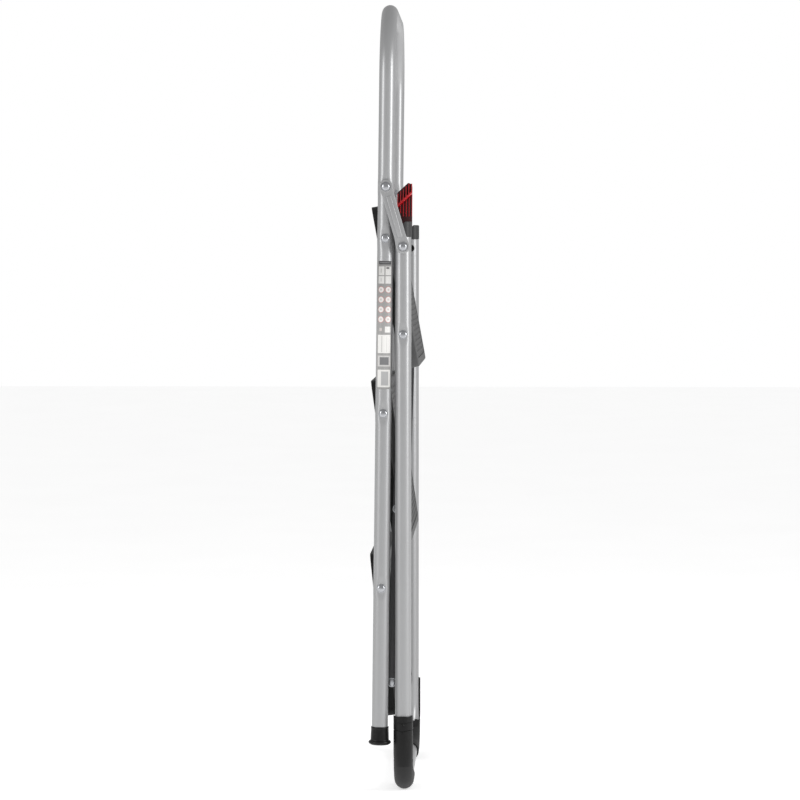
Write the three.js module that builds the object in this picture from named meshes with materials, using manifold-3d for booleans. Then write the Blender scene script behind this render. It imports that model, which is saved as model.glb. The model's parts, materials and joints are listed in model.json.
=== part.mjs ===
// Folding three-tread household step ladder, standing folded on the bar of its rear frame.
// Millimetres. X points rearward, Y to the user's left, Z up. The origin is on the floor,
// under the middle of the folded ladder's bounding box.
//
// The fold is a four-bar linkage on each side: front leg, platform, rear leg and link.
// Two more treads hang on the front legs, and a stay bar on each side ties them to the
// platform's rear pivot, so that all three treads turn level together.

import * as THREE from 'three';
import { mergeVertices } from 'three/addons/utils/BufferGeometryUtils.js';
import Module from 'manifold-3d';

const wasm = await Module();
wasm.setup();

// ---------------------------------------------------------------- driving dimensions

const frameWidth = 440;            // across the outside of the legs
const tubeDiameter = 22;
const tubeWall = 1.2;
const tubeSides = 12;
const frontLean = 0.67 * Math.PI / 180;   // the folded front frame leans back this much
const foldedLegGap = 1.9;          // between the front and rear tubes at the platform
const clearance = 0.3;             // between pieces that touch or turn on each other
const joinDepth = 1;               // how far shapes that are joined reach into each other

const handleRise = 309.5;          // platform's front pivot to the centre of the top bar
const handleBend = 95;             // bend radii are measured to the tube's centre line
const treadSpacing = 236.6;        // between tread pivots, along the front leg
const lowerLegReach = 213.1;       // lowest tread pivot to the sole of the front foot
const baseBend = 60;
const baseBarHeight = 12.6;        // floor to the centre of the rear frame's bar

const platformPivotHeight = 624.5; // on the rear leg
const linkAbovePlatform = 118.5;   // between the link's and the platform's pivots on the rear leg
const rearLegAboveLink = 13;       // link's pivot to the upper end of the rear leg
const linkPivotRise = 69.2;        // on the front leg, above the platform's front pivot
const platformOpenTurn = 108.4 * Math.PI / 180;   // platform on front frame, folded to level

const treadPivotReach = [132.1, 131.5, 131.1];    // front pivot to rear pivot, top tread first
const lowerTreadTilt = [8, 6];     // degrees from plumb when folded, middle and lower tread
const treadFrontOverhang = 45;     // in front of the front pivot
const treadRearOverhang = 47;      // behind the rear pivot
const treadTop = 13.5;             // above the pivot line
const treadBottom = -12;
const treadWall = 2.6;
const treadPlate = 2.4;
const treadCorner = 14;
const treadEdge = 2;
const treadSideGap = 9;            // tread's side to the inside of the leg
const matMargin = 11;
const matThickness = 1.7;
const treadRim = 2.3;              // depth of the recess that the mat lies in
const ribThickness = 2.2;
const ribRows = 3;
const ribColumns = 4;
const bossRadius = 9;

const rivetRadius = 3;
const rivetHeadRadius = 6.2;
const rivetHeadHeight = 3;
const rivetTailRadius = 5;
const rivetTailHeight = 1.5;
const pivotDent = 1.4;             // depth of the flats pressed into a tube at a rivet
const dentHalfFlat = 6;
const dentHalfLength = 16;

const linkThickness = 2.5;
const linkEndRadius = 9.5;
const linkWaist = 16;
const linkBeadHeight = 1;
const beadWidth = 5;
const barShoulder = 5;             // end radius to the bead and the straight sides
const rivetEyeMargin = 1;          // flat face round a rivet's head

const stayThickness = 2.5;
const stayWidth = 13;
const stayGap = 2;                 // stay bar to the inside of the leg
const stayBeadHeight = 1;
const stayRivetHead = 1.3;

const footLength = 24.9;
const footNeckRadius = 12.6;       // at the sole, below the rim
const footTopRadius = 12;
const footLipRadius = 15.35;
const footLipRise = 0.8;           // floor to the start of the rim
const footLipThickness = 5;
const footSoleThickness = 6;

const shoeWall = 2;
const shoeLegReach = 108;          // floor to the upper end of the shoe
const shoeBarReach = 110;          // along the bar, from the outside of the leg
const shoeRollHeight = 50;         // above this the shoe is open on its inner side

const capHeight = 21;              // above the end of the leg
const capPlugLength = 16;
const capOverhang = 0.4;           // the cap stands this far out past the tube
const capCradle = 3.5;             // how far the cap's rim rises round the seated front tube
const capEdge = 1;
const capCutMargin = 0.1;          // the cradle's cut starts this far outside the cap

const catchWidth = 20.5;
const catchShift = 1.5;            // the catch stands this far behind the leg's centre line
const catchThickness = 3;
const catchHeight = 75;            // end of the rear leg to the catch's tip
const catchTipRadius = 6;
const catchTipFlat = 1;
const catchFaceGap = 1;            // seated tube to the catch's plate
const catchHookGap = 2.2;          // seated tube to the underside of the hook
const catchHookDepth = 9;
const catchHookThickness = 16;
const catchHookLip = 2;
const catchRibs = 3;
const catchRibWidth = 1.6;
const catchRibHeight = 0.7;
const catchFootThickness = 6.2;
const catchPinHeight = 8.5;        // above the end of the rear leg
const catchPinRadius = 1.6;
const catchPinProud = 0.2;         // at each end
const catchRelease = 14 * Math.PI / 180;   // swung inward, clear of the front tube
const lugThickness = 2.3;
const lugFloor = 2.6;
const lugRise = 5;                 // above the pin's centre

// ---------------------------------------------------------------- sizes that follow

const linkPivotHeight = platformPivotHeight + linkAbovePlatform;
const rearLegTop = linkPivotHeight + rearLegAboveLink;
const tubeRadius = tubeDiameter / 2;
const legY = frameWidth / 2 - tubeRadius;
const legInside = legY - tubeRadius;
const holeRadius = rivetRadius + clearance;
const dentOutside = legY + tubeRadius - pivotDent;
const dentInside = legInside + pivotDent;
const treadHalfWidth = legInside - treadSideGap;
const stayOutside = legInside - stayGap;
const stayInside = stayOutside - stayThickness;
const linkInside = legY + tubeRadius + capOverhang + clearance;
const linkOutside = linkInside + linkThickness;
const legOffset = tubeDiameter + foldedLegGap;
const catchFace = legInside - catchFaceGap;
const catchPinY = catchFace - catchFootThickness / 2;
const catchPinZ = rearLegTop + catchPinHeight;

// Pivots in the side view, as (x, z) from the foot of the rear leg's centre line.
const rearPivot = new THREE.Vector2(0, platformPivotHeight);
const linkLower = new THREE.Vector2(0, linkPivotHeight);
const platformTilt = Math.asin(legOffset / treadPivotReach[0]);
const treadTilts = [platformTilt, ...lowerTreadTilt.map(THREE.MathUtils.degToRad)];
const frontUp = new THREE.Vector2(Math.sin(frontLean), Math.cos(frontLean));
const frontPivot = new THREE.Vector2(
  -legOffset,
  platformPivotHeight + treadPivotReach[0] * Math.cos(platformTilt),
);
const treadFrontPivots = [0, 1, 2].map((step) => alongFront(-step * treadSpacing));
const treadRearPivots = treadFrontPivots.map((pivot, step) => new THREE.Vector2(
  pivot.x + treadPivotReach[step] * Math.sin(treadTilts[step]),
  pivot.y - treadPivotReach[step] * Math.cos(treadTilts[step]),
));
const linkUpper = alongFront(linkPivotRise);
const linkLength = linkUpper.distanceTo(linkLower);
const frontFootReach = 2 * treadSpacing + lowerLegReach;
const seated = seatedFrontTube();

// A point on the front leg's centre line, at a distance above the platform's front pivot.
function alongFront(distance) {
  return frontPivot.clone().addScaledVector(frontUp, distance);
}

// The front tube's centre line as it lies on the saddle caps when the ladder is open, seen
// from the rear leg: where it crosses the leg's centre line, and its angle from that line.
function seatedFrontTube() {
  const rear = rearPivot.clone().rotateAround(frontPivot, platformOpenTurn);
  const span = rear.clone().sub(linkUpper);
  const distance = span.length();
  const along = (linkLength ** 2 - linkAbovePlatform ** 2 + distance ** 2) / (2 * distance);
  const aside = Math.sqrt(linkLength ** 2 - along ** 2);
  const towards = span.normalize();
  const lower = linkUpper.clone().addScaledVector(towards, along);
  lower.addScaledVector(new THREE.Vector2(-towards.y, towards.x), aside);
  const legTurn = lower.clone().sub(rear).angle() - Math.PI / 2;
  const angle = frontLean + legTurn;
  const pivot = frontPivot.clone().sub(rear).rotateAround(new THREE.Vector2(), -legTurn);
  pivot.add(rearPivot);
  return { angle, height: pivot.y - pivot.x / Math.tan(angle) };
}

// ---------------------------------------------------------------- solids

// A closed three.js geometry as a solid that can be cut and joined.
function solid(geometry) {
  const bare = geometry.clone();
  bare.deleteAttribute('normal');
  bare.deleteAttribute('uv');
  const merged = mergeVertices(bare, 1e-3);
  const corners = Array.from(merged.index.array);
  const triangles = [];
  for (let i = 0; i < corners.length; i += 3) {
    const [a, b, c] = corners.slice(i, i + 3);
    if (a !== b && b !== c && c !== a) triangles.push(a, b, c);
  }
  return new wasm.Manifold(new wasm.Mesh({
    numProp: 3,
    vertProperties: merged.attributes.position.array,
    triVerts: new Uint32Array(triangles),
  }));
}

function geometryOf(body) {
  const mesh = body.getMesh();
  const geometry = new THREE.BufferGeometry();
  geometry.setAttribute('position', new THREE.BufferAttribute(mesh.vertProperties, 3));
  geometry.setIndex(new THREE.BufferAttribute(mesh.triVerts, 1));
  const faceted = geometry.toNonIndexed();
  faceted.computeVertexNormals();
  return faceted;
}

function box(low, high) {
  const size = high.map((value, axis) => value - low[axis]);
  const geometry = new THREE.BoxGeometry(...size);
  geometry.translate(...high.map((value, axis) => (value + low[axis]) / 2));
  return geometry;
}

// A cylinder along Y between two distances from the middle, at (x, z).
function crossCylinder(radius, fromY, toY, x, z, sides = 12) {
  const geometry = new THREE.CylinderGeometry(radius, radius, toY - fromY, sides);
  geometry.translate(x, (fromY + toY) / 2, z);
  return geometry;
}

// Extrudes a side-view outline, drawn in (x, z), across Y between two distances.
function crossExtrude(shape, fromY, toY, curveSegments = 8) {
  const settings = { depth: toY - fromY, bevelEnabled: false, curveSegments };
  const geometry = new THREE.ExtrudeGeometry(shape, settings);
  geometry.rotateX(Math.PI / 2);
  geometry.translate(0, toY, 0);
  return geometry;
}

// The same piece for the other side of the ladder.
function mirrored(geometry) {
  const copy = geometry.index ? geometry.toNonIndexed() : geometry.clone();
  const position = copy.attributes.position;
  for (let i = 0; i < position.count; i += 3) {
    const corners = [0, 2, 1].map((k) => new THREE.Vector3().fromBufferAttribute(position, i + k));
    corners.forEach((corner, k) => position.setXYZ(i + k, corner.x, -corner.y, corner.z));
  }
  copy.computeVertexNormals();
  return copy;
}

// A path through given stations, with one extrusion step between each pair.
class StationPath extends THREE.Curve {
  constructor(stations) {
    super();
    this.stations = stations;
  }

  getPoint(t, target = new THREE.Vector3()) {
    const place = THREE.MathUtils.clamp(t, 0, 1) * (this.stations.length - 1);
    const index = Math.min(Math.floor(place), this.stations.length - 2);
    return target.lerpVectors(this.stations[index], this.stations[index + 1], place - index);
  }

  getUtoTmapping(u) {
    return u;
  }
}

// Stations of half a U-shaped tube in the YZ plane: down one leg and round its bend.
// The leg runs from endZ to barZ, and extra stations are given as heights on the leg.
function uTubeStations(endZ, barZ, bend, extraHeights, bendSteps = 7) {
  const down = Math.sign(barZ - endZ);
  const heights = [endZ, ...extraHeights].sort((a, b) => (a - b) * down);
  const leg = heights.map((z) => new THREE.Vector3(0, legY, z));
  const centre = new THREE.Vector2(legY - bend, barZ - down * bend);
  const arc = Array.from({ length: bendSteps + 1 }, (_, step) => {
    const turn = step / bendSteps * Math.PI / 2;
    const y = centre.x + bend * Math.cos(turn);
    return new THREE.Vector3(0, y, centre.y + down * bend * Math.sin(turn));
  });
  const left = [...leg, ...arc];
  const right = left.map((point) => new THREE.Vector3(0, -point.y, point.z)).reverse();
  return [...left, ...right];
}

function ringShape(outer, inner) {
  const shape = new THREE.Shape().absarc(0, 0, outer, 0, 2 * Math.PI);
  shape.holes.push(new THREE.Path().absarc(0, 0, inner, 0, 2 * Math.PI, true));
  return shape;
}

function sweptTube(stations, outer, inner) {
  return new THREE.ExtrudeGeometry(ringShape(outer, inner), {
    extrudePath: new StationPath(stations),
    steps: stations.length - 1,
    curveSegments: tubeSides / 2,
    bevelEnabled: false,
  });
}

function dentStations(height) {
  const middle = (dentHalfFlat + dentHalfLength) / 2;
  const offsets = [-dentHalfLength, -middle, -dentHalfFlat, 0, dentHalfFlat, middle, dentHalfLength];
  return offsets.map((offset) => height + offset);
}

// Presses flats into both legs of a U tube, inside and outside, round each rivet.
function pressFlats(geometry, heights) {
  const position = geometry.attributes.position;
  for (let i = 0; i < position.count; i += 1) {
    const away = Math.min(...heights.map((height) => Math.abs(position.getZ(i) - height)));
    const y = position.getY(i);
    const offset = Math.abs(y) - legY;
    if (away >= dentHalfLength || Math.abs(offset) > tubeRadius + clearance) continue;
    const fade = THREE.MathUtils.smoothstep(away, dentHalfFlat, dentHalfLength);
    const fromAxis = Math.hypot(position.getX(i), offset);
    const wall = fromAxis > tubeRadius - tubeWall / 2 ? 0 : tubeWall;
    const limit = tubeRadius - wall - pivotDent * (1 - fade);
    const pressed = Math.sign(offset) * Math.min(Math.abs(offset), limit);
    position.setY(i, Math.sign(y) * (legY + pressed));
  }
  return geometry;
}

function drilled(geometry, heights) {
  const reach = legY + tubeDiameter;
  return heights.reduce(
    (body, height) => body.subtract(solid(crossCylinder(holeRadius, -reach, reach, 0, height))),
    solid(geometry),
  );
}

// ---------------------------------------------------------------- finishes

const finishes = {
  silver: { color: 0xa9abad, roughness: 0.42, metalness: 0.75 },
  zinc: { color: 0xc9cacc, roughness: 0.3, metalness: 0.9 },
  black: { color: 0x1c1c1e, roughness: 0.6, metalness: 0 },
  mat: { color: 0x565759, roughness: 0.9, metalness: 0 },
  red: { color: 0xb3121a, roughness: 0.35, metalness: 0 },
};

function add(parent, name, geometry, finish) {
  const mesh = new THREE.Mesh(geometry, new THREE.MeshStandardMaterial(finishes[finish]));
  mesh.name = name;
  parent.add(mesh);
}

// Adds a piece drawn for the left side (+Y), and its mirror image for the right.
function addPair(parent, name, geometry, finish) {
  add(parent, `${name}_left`, geometry, finish);
  add(parent, `${name}_right`, mirrored(geometry), finish);
}

// A group at a side-view point. Its X axis is turned to a direction in the side view.
function groupAt(name, point, angle = 0) {
  const group = new THREE.Group();
  group.name = name;
  group.position.set(point.x, 0, point.y);
  group.rotation.y = -angle;
  return group;
}

// ---------------------------------------------------------------- tubes

function frontFrameTube() {
  const foot = -frontFootReach + footSoleThickness + clearance;
  const pivots = [linkPivotRise, ...[0, 1, 2].map((step) => -step * treadSpacing)];
  const stations = uTubeStations(foot, handleRise, handleBend, pivots.flatMap(dentStations));
  const tube = sweptTube(stations, tubeRadius, tubeRadius - tubeWall);
  return geometryOf(drilled(pressFlats(tube, pivots), pivots));
}

function rearFrameTube() {
  const extra = dentStations(platformPivotHeight);
  const stations = uTubeStations(rearLegTop, baseBarHeight, baseBend, extra);
  const tube = sweptTube(stations, tubeRadius, tubeRadius - tubeWall);
  return geometryOf(drilled(pressFlats(tube, [platformPivotHeight]), [platformPivotHeight]));
}

// ---------------------------------------------------------------- rivets

// A rivet on the left side. Distances are from the middle of the ladder: underHead is the
// face that the head covers, and tail the face that its other end is spread against.
function rivet(underHead, tail, tailed = true, headHeight = rivetHeadHeight) {
  const head = underHead + clearance;
  const end = tailed ? tail - clearance : tail;
  const rim = headHeight / 3;
  const dome = [0, 1, 2, 3].map((step) => {
    const turn = step / 3 * Math.PI / 2;
    const out = rivetHeadRadius * Math.cos(turn);
    return new THREE.Vector2(out, head + rim + (headHeight - rim) * Math.sin(turn));
  });
  const tailRing = [
    new THREE.Vector2(0, end - rivetTailHeight),
    new THREE.Vector2(rivetTailRadius, end - rivetTailHeight),
    new THREE.Vector2(rivetTailRadius, end),
  ];
  const profile = [
    ...(tailed ? tailRing : [new THREE.Vector2(0, end)]),
    new THREE.Vector2(rivetRadius, end),
    new THREE.Vector2(rivetRadius, head),
    new THREE.Vector2(rivetHeadRadius, head),
    ...dome,
  ];
  profile[profile.length - 1].x = 0;
  return geometryOf(solid(new THREE.LatheGeometry(profile, 12)));
}

// ---------------------------------------------------------------- feet and shoes

// Socket foot pushed over the end of a front leg, flared out to a rim and a flat sole.
function frontFoot() {
  const bore = tubeRadius + clearance;
  const outline = [
    [0, 0],
    [footNeckRadius, 0],
    [footLipRadius, footLipRise],
    [footLipRadius, footLipRise + footLipThickness],
    [footTopRadius, footLength],
    [bore, footLength],
    [bore, footSoleThickness],
    [0, footSoleThickness],
  ];
  const profile = outline.map(([radius, height]) => new THREE.Vector2(radius, height));
  const foot = new THREE.LatheGeometry(profile, 20);
  foot.rotateX(Math.PI / 2);
  foot.translate(0, legY, -frontFootReach);
  return geometryOf(solid(foot));
}

// Shell over a lower corner of the rear frame: closed round the bar, and open on its inner
// side above the bend, with a flat where it stands on the floor.
function rearShoe() {
  const inner = tubeRadius + clearance;
  const outer = inner + shoeWall;
  const barEnd = legY + tubeRadius - shoeBarReach;
  const stations = uTubeStations(shoeLegReach, baseBarHeight, baseBend, []);
  const half = stations.slice(0, stations.length / 2);
  half.push(new THREE.Vector3(0, barEnd, baseBarHeight));
  const shell = solid(sweptTube(half, outer, inner));
  const opening = box([-outer, 0, shoeRollHeight], [outer, legY - shoeWall, shoeLegReach + joinDepth]);
  const belowFloor = box([-outer, 0, -outer], [outer, frameWidth, 0]);
  return geometryOf(shell.subtract(solid(opening)).subtract(solid(belowFloor)));
}

// ---------------------------------------------------------------- saddle caps and catch

// Places a shape drawn round the Z axis on the seated front tube's line. The shape's X axis
// then points down and rearward, square to the tube, towards the saddle cap.
function onSeatedTube(geometry) {
  return geometry.rotateY(seated.angle).translate(0, 0, seated.height);
}

// Lug on the inner side of the right-hand cap: a floor and two ears that hold the catch's pin.
function catchLug() {
  const halfGap = catchWidth / 2 - lugThickness - clearance;
  const half = halfGap + lugThickness;
  const inside = catchFace - catchFootThickness;
  const reach = legY - tubeRadius / 2;
  const low = rearLegTop + clearance;
  const top = rearLegTop + catchPinHeight + lugRise;
  const floor = solid(box([-half, inside, low], [half, reach, rearLegTop + lugFloor]));
  const frontEar = solid(box([-half, inside, low], [-halfGap, reach, top]));
  const rearEar = solid(box([halfGap, inside, low], [half, reach, top]));
  return floor.add(frontEar).add(rearEar);
}

function catchBore() {
  const radius = catchPinRadius + clearance;
  const bore = new THREE.CylinderGeometry(radius, radius, 2 * catchWidth, 12);
  return solid(bore.rotateZ(Math.PI / 2).translate(0, catchPinY, catchPinZ));
}

// Plug for the upper end of a rear leg. Its top is a cradle for the open front tube.
function saddleCap(withLug) {
  const outer = tubeRadius + capOverhang;
  const plug = (tubeRadius - tubeWall) * Math.cos(Math.PI / tubeSides) - clearance;
  const tall = rearLegTop + capHeight;
  const blank = new THREE.LatheGeometry([
    [0, rearLegTop - capPlugLength],
    [plug, rearLegTop - capPlugLength],
    [plug, rearLegTop + clearance],
    [outer, rearLegTop + clearance],
    [outer, tall - capEdge],
    [outer - capEdge, tall],
    [0, tall],
  ].map(([radius, height]) => new THREE.Vector2(radius, height)), 20);
  const bed = tubeRadius + clearance;
  const length = 6 * tubeDiameter;
  const groove = new THREE.CylinderGeometry(bed, bed, length, 24).rotateX(Math.PI / 2);
  const cutFrom = legY - outer - capCutMargin;
  const above = box([-length, cutFrom, -length], [bed - capCradle, 2 * legY, length]);
  let body = solid(blank.rotateX(Math.PI / 2).translate(0, legY, 0));
  if (withLug) body = body.add(catchLug()).subtract(catchBore());
  body = body.subtract(solid(onSeatedTube(above)));
  body = body.subtract(solid(onSeatedTube(groove.translate(0, legY, 0))));
  return geometryOf(body);
}

function catchPin() {
  const length = catchWidth + 2 * catchPinProud;
  const pin = new THREE.CylinderGeometry(catchPinRadius, catchPinRadius, length, 12);
  return pin.rotateZ(Math.PI / 2).translate(0, catchPinY, catchPinZ);
}

// Outline of the catch in the side view: its upper edge runs along the seated front tube.
function catchOutline() {
  const front = catchShift - catchWidth / 2;
  const rear = catchShift + catchWidth / 2;
  const low = rearLegTop + catchPinHeight + lugRise + 2 * clearance;
  const top = rearLegTop + catchHeight;
  const edge = tubeRadius + catchHookGap + catchHookThickness;
  const edgeHeight = (x) => seated.height + (edge + x * Math.cos(seated.angle)) / Math.sin(seated.angle);
  const edgeEnd = (top - edgeHeight(0)) * Math.tan(seated.angle);
  const shape = new THREE.Shape();
  shape.moveTo(front, low);
  shape.lineTo(rear, low);
  shape.lineTo(rear, top - catchTipRadius);
  shape.quadraticCurveTo(rear, top, Math.min(edgeEnd, rear - catchTipFlat), top);
  shape.lineTo(front, edgeHeight(front));
  return shape;
}

// The catch, upright, as it locks the open ladder: a plate beside the seated front tube, a
// hook over the tube with a ramp above it, ribs below it, and a foot on the pin.
function lockCatch() {
  const outline = catchOutline();
  const underside = -tubeRadius - catchHookGap;
  const upper = underside - catchHookThickness;
  const hookEnd = catchFace + catchHookDepth;
  const hook = new THREE.Shape();
  hook.moveTo(underside, catchFace - joinDepth);
  hook.lineTo(underside, hookEnd);
  hook.lineTo(underside - catchHookLip, hookEnd);
  hook.lineTo(upper, catchFace + clearance);
  hook.lineTo(upper, catchFace - joinDepth);
  const length = 8 * tubeDiameter;
  const bar = new THREE.ExtrudeGeometry(hook, { depth: length, bevelEnabled: false });
  const trim = solid(crossExtrude(outline, catchFace - joinDepth, hookEnd + joinDepth, 4));
  const halfFoot = catchWidth / 2 - lugThickness - 2 * clearance;
  const footLow = [-halfFoot, catchFace - catchFootThickness, catchPinZ];
  const footTop = catchPinZ + lugRise + 2 * joinDepth;
  const foot = box(footLow, [halfFoot, catchFace, footTop]);
  const heel = new THREE.CylinderGeometry(
    catchFootThickness / 2, catchFootThickness / 2, 2 * halfFoot, 16);
  heel.rotateZ(Math.PI / 2).translate(0, catchPinY, catchPinZ);
  let body = solid(crossExtrude(outline, catchFace - catchThickness, catchFace, 4));
  body = body.add(solid(onSeatedTube(bar.translate(0, 0, -length / 2))).intersect(trim));
  for (let rib = 0; rib < catchRibs; rib += 1) {
    const x = catchShift + ((rib + 0.5) / catchRibs - 0.5) * (catchWidth - catchRibWidth);
    const low = [x - catchRibWidth / 2, catchFace - joinDepth, footTop];
    const high = [x + catchRibWidth / 2, catchFace + catchRibHeight, seated.height];
    body = body.add(solid(box(low, high)));
  }
  body = body.add(solid(foot)).add(solid(heel)).subtract(catchBore());
  return geometryOf(body).translate(0, -catchPinY, -catchPinZ);
}

// ---------------------------------------------------------------- links and stay bars

// Flat bar between two pivots on its X axis, with round ends and a narrower waist.
function barOutline(length, endRadius, waist) {
  const shoulder = endRadius + barShoulder;
  const shape = new THREE.Shape();
  shape.absarc(0, 0, endRadius, Math.PI / 2, 3 * Math.PI / 2);
  shape.lineTo(shoulder, -waist / 2);
  shape.lineTo(length - shoulder, -waist / 2);
  shape.absarc(length, 0, endRadius, -Math.PI / 2, Math.PI / 2);
  shape.lineTo(length - shoulder, waist / 2);
  shape.lineTo(shoulder, waist / 2);
  return shape;
}

function pressedBar(length, endRadius, waist, inside, outside, beadHeight, holes) {
  const shoulder = endRadius + barShoulder;
  const above = outside + 2 * beadHeight;
  const bead = box(
    [shoulder, outside - joinDepth, -beadWidth / 2],
    [length - shoulder, outside + beadHeight, beadWidth / 2],
  );
  let body = solid(crossExtrude(barOutline(length, endRadius, waist), inside, outside, 6));
  body = body.add(solid(bead));
  for (const hole of holes) {
    const eye = crossCylinder(rivetHeadRadius + rivetEyeMargin, outside, above, hole.x, hole.y);
    const bore = crossCylinder(holeRadius, inside - joinDepth, above, hole.x, hole.y);
    body = body.subtract(solid(eye)).subtract(solid(bore));
  }
  return geometryOf(body);
}

function link() {
  const holes = [new THREE.Vector2(0, 0), new THREE.Vector2(linkLength, 0)];
  return pressedBar(
    linkLength, linkEndRadius, linkWaist, linkInside, linkOutside, linkBeadHeight, holes);
}

function stayBar() {
  const along = treadRearPivots[2].clone().sub(rearPivot);
  const turnBack = -along.angle();
  const middle = treadRearPivots[1].clone().sub(rearPivot);
  const holes = [
    new THREE.Vector2(0, 0),
    middle.rotateAround(new THREE.Vector2(), turnBack),
    new THREE.Vector2(along.length(), 0),
  ];
  return pressedBar(
    along.length(), stayWidth / 2, stayWidth, stayInside, stayOutside, stayBeadHeight, holes);
}

// ---------------------------------------------------------------- treads

// Plan outline of a tread, drawn in by a margin. X runs rearward from the front pivot.
function treadOutline(reach, margin) {
  const front = -treadFrontOverhang + margin;
  const rear = reach + treadRearOverhang - margin;
  const half = treadHalfWidth - margin;
  const corner = Math.max(treadCorner - margin, treadEdge);
  const shape = new THREE.Shape();
  shape.absarc(rear - corner, half - corner, corner, 0, Math.PI / 2);
  shape.absarc(front + corner, half - corner, corner, Math.PI / 2, Math.PI);
  shape.absarc(front + corner, corner - half, corner, Math.PI, 1.5 * Math.PI);
  shape.absarc(rear - corner, corner - half, corner, 1.5 * Math.PI, 2 * Math.PI);
  return shape;
}

function treadSlab(reach, margin, low, high) {
  const settings = { depth: high - low, bevelEnabled: false, curveSegments: 3 };
  const slab = new THREE.ExtrudeGeometry(treadOutline(reach, margin), settings);
  return slab.translate(0, 0, low);
}

function treadBody(step) {
  const reach = treadPivotReach[step];
  const blank = new THREE.ExtrudeGeometry(treadOutline(reach, 0), {
    depth: treadTop - treadBottom - treadEdge + joinDepth,
    bevelThickness: treadEdge,
    bevelSize: treadEdge,
    bevelOffset: -treadEdge,
    bevelSegments: 2,
    curveSegments: 3,
  });
  blank.translate(0, 0, treadBottom - joinDepth);
  const below = box([-reach, -frameWidth, 2 * treadBottom], [2 * reach, frameWidth, treadBottom]);
  const seat = treadTop - treadRim;
  let cavity = solid(treadSlab(reach, treadWall, treadBottom - joinDepth, seat - treadPlate));
  const front = -treadFrontOverhang;
  const depth = reach + treadRearOverhang - front;
  for (let row = 1; row < ribRows; row += 1) {
    const x = front + depth * row / ribRows;
    const rib = box([x, -frameWidth, treadBottom], [x + ribThickness, frameWidth, treadTop]);
    cavity = cavity.subtract(solid(rib));
  }
  for (let column = 1; column < ribColumns; column += 1) {
    const y = treadHalfWidth * (2 * column / ribColumns - 1) - ribThickness / 2;
    const rib = box([-reach, y, treadBottom], [2 * reach, y + ribThickness, treadTop]);
    cavity = cavity.subtract(solid(rib));
  }
  let body = solid(blank).subtract(solid(below)).subtract(cavity);
  body = body.subtract(solid(treadSlab(reach, matMargin, seat, treadTop + treadEdge)));
  const skirt = treadHalfWidth - treadWall / 2;
  for (const side of [-1, 1]) {
    const ends = (reachOut) => [side * skirt, side * reachOut].sort((a, b) => a - b);
    const frontBoss = crossCylinder(bossRadius, ...ends(legInside - clearance), 0, 0, 16);
    const rearBoss = crossCylinder(bossRadius, ...ends(stayInside - clearance), reach, 0, 16);
    body = body.add(solid(frontBoss)).add(solid(rearBoss));
    const drill = [side * (skirt - treadWall), side * legInside].sort((a, b) => a - b);
    body = body.subtract(solid(crossCylinder(holeRadius, ...drill, 0, 0)));
    if (step === 0) body = body.subtract(solid(crossCylinder(holeRadius, ...drill, reach, 0)));
  }
  return geometryOf(body);
}

function treadMat(step) {
  const low = treadTop - treadRim + clearance;
  return treadSlab(treadPivotReach[step], matMargin + clearance, low, low + matThickness);
}

// ---------------------------------------------------------------- assembly

const treadInside = treadHalfWidth - treadWall;
const ladder = new THREE.Group();

const rearFrame = groupAt('rear_frame', new THREE.Vector2());
add(rearFrame, 'rear_frame_tube', rearFrameTube(), 'silver');
addPair(rearFrame, 'rear_shoe', rearShoe(), 'black');
add(rearFrame, 'saddle_cap_left', saddleCap(false), 'black');
add(rearFrame, 'saddle_cap_right', mirrored(saddleCap(true)), 'black');
add(rearFrame, 'catch_pin', mirrored(catchPin()), 'zinc');
const rearPivotRivet = rivet(dentOutside, treadInside).translate(0, 0, platformPivotHeight);
addPair(rearFrame, 'rear_pivot_rivet', rearPivotRivet, 'zinc');

const catchSwing = new THREE.Group();
catchSwing.name = 'lock_catch';
catchSwing.position.set(0, -catchPinY, catchPinZ);
catchSwing.rotation.x = -catchRelease;
add(catchSwing, 'lock_catch', mirrored(lockCatch()), 'red');

const frontFrame = groupAt('front_frame', frontPivot, -frontLean);
add(frontFrame, 'front_frame_tube', frontFrameTube(), 'silver');
addPair(frontFrame, 'front_foot', frontFoot(), 'black');
const treadNames = ['platform', 'middle_tread', 'lower_tread'];
treadNames.forEach((name, step) => {
  const pivot = rivet(dentOutside, treadInside).translate(0, 0, -step * treadSpacing);
  addPair(frontFrame, `${name}_pivot_rivet`, pivot, 'zinc');
});
const linkRivet = rivet(linkOutside, dentInside).translate(0, 0, linkPivotRise);
addPair(frontFrame, 'link_upper_rivet', linkRivet, 'zinc');

const treads = treadNames.map((name, step) => {
  const along = treadRearPivots[step].clone().sub(treadFrontPivots[step]);
  const group = groupAt(name, treadFrontPivots[step], along.angle());
  add(group, `${name}_shell`, treadBody(step), 'black');
  add(group, `${name}_mat`, treadMat(step), 'mat');
  return group;
});

const links = groupAt('links', linkUpper, linkLower.clone().sub(linkUpper).angle());
addPair(links, 'link', link(), 'silver');
const lowerLinkRivet = rivet(linkOutside, linkInside, false).translate(linkLength, 0, 0);
addPair(links, 'link_lower_rivet', lowerLinkRivet, 'zinc');

const stays = groupAt('stay_bars', rearPivot, treadRearPivots[2].clone().sub(rearPivot).angle());
addPair(stays, 'stay_bar', stayBar(), 'silver');
['stay_middle_rivet', 'stay_lower_rivet'].forEach((name, index) => {
  const along = treadRearPivots[index + 1].clone().sub(rearPivot);
  const place = along.rotateAround(new THREE.Vector2(), stays.rotation.y);
  const head = rivet(stayOutside, stayInside, false, stayRivetHead);
  addPair(stays, name, head.translate(place.x, 0, place.y), 'zinc');
});

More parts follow.
